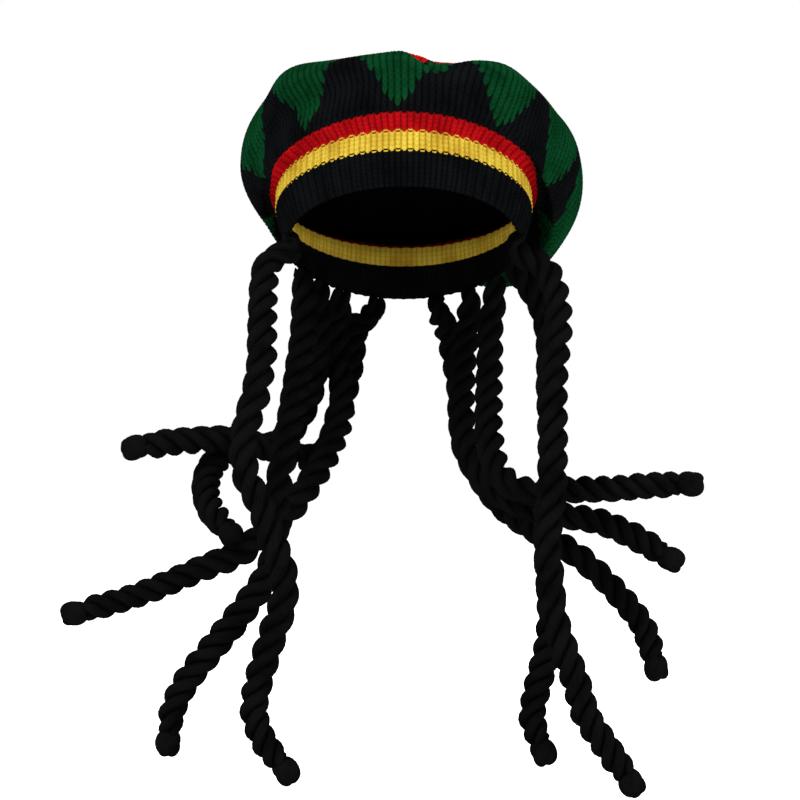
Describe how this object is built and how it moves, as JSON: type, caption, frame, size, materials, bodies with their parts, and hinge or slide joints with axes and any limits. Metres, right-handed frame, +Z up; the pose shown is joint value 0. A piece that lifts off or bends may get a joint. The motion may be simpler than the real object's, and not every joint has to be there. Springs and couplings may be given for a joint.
{
  "type": "knitted rasta tam with rope locks",
  "caption": "Slouchy round knitted tam on a ribbed band with black, yellow and red stripes, with black twisted rope locks sewn under the rim.",
  "frame": {"origin": "middle of the head opening, where the hat sits on a head", "axes": "+Z up as worn, -Y the front of the hat, +X to the right as seen from the front"},
  "size_m": [0.4002, 0.2692, 0.4575],
  "materials": {
    "black_yarn": "soft matt knitted acrylic",
    "green_yarn": "soft matt knitted acrylic",
    "red_yarn": "soft matt knitted acrylic",
    "yellow_yarn": "soft matt knitted acrylic",
    "rope_yarn": "fuzzy matt twisted yarn"
  },
  "bodies": {
    "root": {"crown": "black_yarn", "band_black": "black_yarn", "band_yellow": "yellow_yarn", "band_red": "red_yarn", "lock_left_1": "rope_yarn", "lock_left_2": "rope_yarn", "lock_left_3": "rope_yarn", "lock_left_4": "rope_yarn", "lock_left_5": "rope_yarn", "lock_right_1": "rope_yarn", "lock_right_2": "rope_yarn", "lock_right_3": "rope_yarn", "lock_right_4": "rope_yarn", "lock_right_5": "rope_yarn", "lock_left_1_knot": "rope_yarn", "lock_left_2_knot": "rope_yarn", "lock_left_3_knot": "rope_yarn", "lock_left_4_knot": "rope_yarn", "lock_left_5_knot": "rope_yarn", "lock_right_1_knot": "rope_yarn", "lock_right_2_knot": "rope_yarn", "lock_right_3_knot": "rope_yarn", "lock_right_4_knot": "rope_yarn", "lock_right_5_knot": "rope_yarn"}
  },
  "joints": []
}
